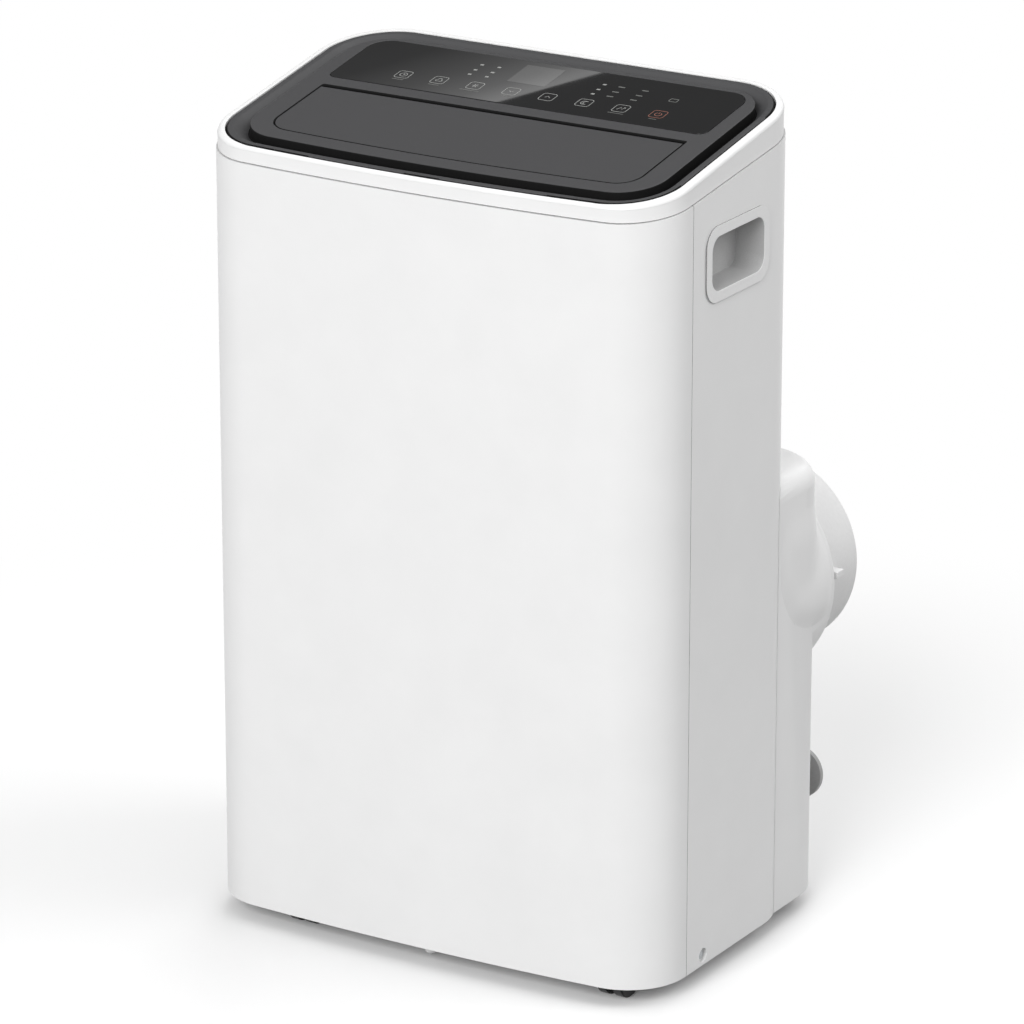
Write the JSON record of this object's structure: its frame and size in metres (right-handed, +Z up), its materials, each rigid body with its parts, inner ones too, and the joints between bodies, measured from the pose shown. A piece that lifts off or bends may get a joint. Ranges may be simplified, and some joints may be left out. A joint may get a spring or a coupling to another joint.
{
  "type": "portable air conditioner",
  "caption": "White cabinet on casters with a sloping dark top: hinged air flap over swing vanes, glass touch panel, side grips, rear filters and a hose outlet.",
  "frame": {"origin": "on the floor, at the centre of the overall footprint", "axes": "+Z up, +Y to the back (hose side), +X to the right as seen from the front"},
  "size_m": [0.4378, 0.374, 0.7165],
  "materials": {
    "white_plastic": "semi-gloss white moulded ABS",
    "deck_plastic": "satin dark grey moulded ABS",
    "panel_glass": "polished smoked acrylic",
    "board_green": "solder-mask green",
    "display_grey": "diffusing grey",
    "black_plastic": "matt black moulded plastic",
    "handle_plastic": "satin light grey moulded ABS",
    "filter_grey": "woven nylon mesh in a moulded frame",
    "coil_aluminium": "bare fins",
    "inner_plastic": "off-white moulded plastic",
    "motor_steel": "zinc plated",
    "black_steel": "black enamel",
    "grommet_rubber": "matt",
    "copper": "bare copper tube",
    "caster_black": "satin black nylon",
    "box_steel": "galvanised sheet",
    "capacitor_can": "drawn can",
    "grey_plastic": "satin mid grey moulded plastic"
  },
  "bodies": {
    "cabinet": {"front_panel": "white_plastic", "rear_shell": "white_plastic", "rear_casing": "white_plastic", "top_ring": "white_plastic", "top_deck": "deck_plastic", "control_glass": "panel_glass", "control_board": "board_green", "display_module": "display_grey", "flap_motor": "motor_steel", "outlet_duct": "black_plastic", "left_handle": "handle_plastic", "right_handle": "handle_plastic", "evaporator_coil": "coil_aluminium", "evaporator_scroll": "inner_plastic", "evaporator_motor": "motor_steel", "condenser_coil": "coil_aluminium", "condenser_scroll": "inner_plastic", "condenser_motor": "motor_steel", "compressor": "black_steel", "compressor_mounts": "grommet_rubber", "accumulator": "black_steel", "suction_pipe": "copper", "discharge_pipe": "copper", "liquid_line": "copper", "drip_tray": "inner_plastic", "base_pan": "white_plastic", "control_box": "box_steel", "control_box_cover": "box_steel", "run_capacitor": "capacitor_can", "cord_hook": "grey_plastic", "cord_gland": "black_plastic", "casing_screws": "motor_steel", "splash_motor": "motor_steel"},
    "flap": {"outlet_flap": "deck_plastic"},
    "vane_body_1": {"vane_1": "black_plastic"},
    "vane_body_2": {"vane_2": "black_plastic"},
    "vane_body_3": {"vane_3": "black_plastic"},
    "vane_body_4": {"vane_4": "black_plastic"},
    "vane_body_5": {"vane_5": "black_plastic"},
    "vane_body_6": {"vane_6": "black_plastic"},
    "vane_bar": {"vane_link": "black_plastic"},
    "upper_filter_set": {"upper_grille": "white_plastic", "upper_filter": "filter_grey"},
    "lower_filter_set": {"lower_grille": "white_plastic", "lower_filter": "filter_grey"},
    "evaporator_fan": {"evaporator_wheel": "inner_plastic"},
    "condenser_fan": {"condenser_wheel": "black_plastic"},
    "splash_rotor": {"splash_wheel": "black_plastic"},
    "swivel_fl": {"caster_yoke_fl": "caster_black"},
    "swivel_fr": {"caster_yoke_fr": "caster_black"},
    "swivel_rl": {"caster_yoke_rl": "caster_black"},
    "swivel_rr": {"caster_yoke_rr": "caster_black"},
    "wheels_fl": {"caster_wheels_fl": "caster_black"},
    "wheels_fr": {"caster_wheels_fr": "caster_black"},
    "wheels_rl": {"caster_wheels_rl": "caster_black"},
    "wheels_rr": {"caster_wheels_rr": "caster_black"},
    "adaptor": {"hose_adaptor": "white_plastic"},
    "drain_stopper": {"drain_plug": "grey_plastic"}
  },
  "joints": [
    {"name": "flap_hinge", "type": "hinge", "parent": "cabinet", "child": "flap", "pos_m": [0, -0.0632, 0.68622], "axis": [-1, 0, 0], "range_deg": [0, 65]},
    {"name": "vane_bar_slide", "type": "slide", "parent": "cabinet", "child": "vane_bar", "axis": [1, 0, 0], "range_m": [-0.0077, 0.0077]},
    {"name": "vane_1_pivot", "type": "hinge", "parent": "cabinet", "child": "vane_body_1", "pos_m": [-0.12, -0.086, 0.637], "axis": [0, 1, 0], "range_deg": [-25, 25]},
    {"name": "vane_2_pivot", "type": "hinge", "parent": "cabinet", "child": "vane_body_2", "pos_m": [-0.072, -0.086, 0.637], "axis": [0, 1, 0], "range_deg": [-25, 25]},
    {"name": "vane_3_pivot", "type": "hinge", "parent": "cabinet", "child": "vane_body_3", "pos_m": [-0.024, -0.086, 0.637], "axis": [0, 1, 0], "range_deg": [-25, 25]},
    {"name": "vane_4_pivot", "type": "hinge", "parent": "cabinet", "child": "vane_body_4", "pos_m": [0.024, -0.086, 0.637], "axis": [0, 1, 0], "range_deg": [-25, 25]},
    {"name": "vane_5_pivot", "type": "hinge", "parent": "cabinet", "child": "vane_body_5", "pos_m": [0.072, -0.086, 0.637], "axis": [0, 1, 0], "range_deg": [-25, 25]},
    {"name": "vane_6_pivot", "type": "hinge", "parent": "cabinet", "child": "vane_body_6", "pos_m": [0.12, -0.086, 0.637], "axis": [0, 1, 0], "range_deg": [-25, 25]},
    {"name": "upper_filter_pull", "type": "slide", "parent": "cabinet", "child": "upper_filter_set", "axis": [0, 1, 0], "range_m": [0, 0.06]},
    {"name": "lower_filter_pull", "type": "slide", "parent": "cabinet", "child": "lower_filter_set", "axis": [0, 1, 0], "range_m": [0, 0.06]},
    {"name": "evaporator_fan_spin", "type": "hinge", "parent": "cabinet", "child": "evaporator_fan", "pos_m": [0, -0.087, 0.494], "axis": [0, 1, 0], "continuous": true},
    {"name": "condenser_fan_spin", "type": "hinge", "parent": "cabinet", "child": "condenser_fan", "pos_m": [-0.05, 0.003, 0.193], "axis": [0, 1, 0], "continuous": true},
    {"name": "splash_spin", "type": "hinge", "parent": "cabinet", "child": "splash_rotor", "pos_m": [-0.182, 0.018, 0.055], "axis": [0, 0, 1], "continuous": true},
    {"name": "swivel_fl_turn", "type": "hinge", "parent": "cabinet", "child": "swivel_fl", "pos_m": [-0.129, -0.1394, 0.025], "axis": [0, 0, 1], "continuous": true},
    {"name": "wheels_fl_roll", "type": "hinge", "parent": "swivel_fl", "child": "wheels_fl", "pos_m": [-0.129, -0.1534, 0.018], "axis": [1, 0, 0], "continuous": true},
    {"name": "swivel_fr_turn", "type": "hinge", "parent": "cabinet", "child": "swivel_fr", "pos_m": [0.171, -0.1394, 0.025], "axis": [0, 0, 1], "continuous": true},
    {"name": "wheels_fr_roll", "type": "hinge", "parent": "swivel_fr", "child": "wheels_fr", "pos_m": [0.171, -0.1534, 0.018], "axis": [1, 0, 0], "continuous": true},
    {"name": "swivel_rl_turn", "type": "hinge", "parent": "cabinet", "child": "swivel_rl", "pos_m": [-0.129, 0.069, 0.025], "axis": [0, 0, 1], "continuous": true},
    {"name": "wheels_rl_roll", "type": "hinge", "parent": "swivel_rl", "child": "wheels_rl", "pos_m": [-0.129, 0.055, 0.018], "axis": [1, 0, 0], "continuous": true},
    {"name": "swivel_rr_turn", "type": "hinge", "parent": "cabinet", "child": "swivel_rr", "pos_m": [0.171, 0.069, 0.025], "axis": [0, 0, 1], "continuous": true},
    {"name": "wheels_rr_roll", "type": "hinge", "parent": "swivel_rr", "child": "wheels_rr", "pos_m": [0.171, 0.055, 0.018], "axis": [1, 0, 0], "continuous": true},
    {"name": "adaptor_twist", "type": "hinge", "parent": "cabinet", "child": "adaptor", "pos_m": [0.1172, 0.13, 0.276], "axis": [0, 1, 0], "range_deg": [0, 30]},
    {"name": "drain_stopper_pull", "type": "slide", "parent": "cabinet", "child": "drain_stopper", "axis": [0, 1, 0], "range_m": [0, 0.03]}
  ],
  "couplings": [
    {"joint": "vane_1_pivot", "follows": "vane_bar_slide", "rad_per_m": -56.465},
    {"joint": "vane_2_pivot", "follows": "vane_bar_slide", "rad_per_m": -56.465},
    {"joint": "vane_3_pivot", "follows": "vane_bar_slide", "rad_per_m": -56.465},
    {"joint": "vane_4_pivot", "follows": "vane_bar_slide", "rad_per_m": -56.465},
    {"joint": "vane_5_pivot", "follows": "vane_bar_slide", "rad_per_m": -56.465},
    {"joint": "vane_6_pivot", "follows": "vane_bar_slide", "rad_per_m": -56.465}
  ]
}
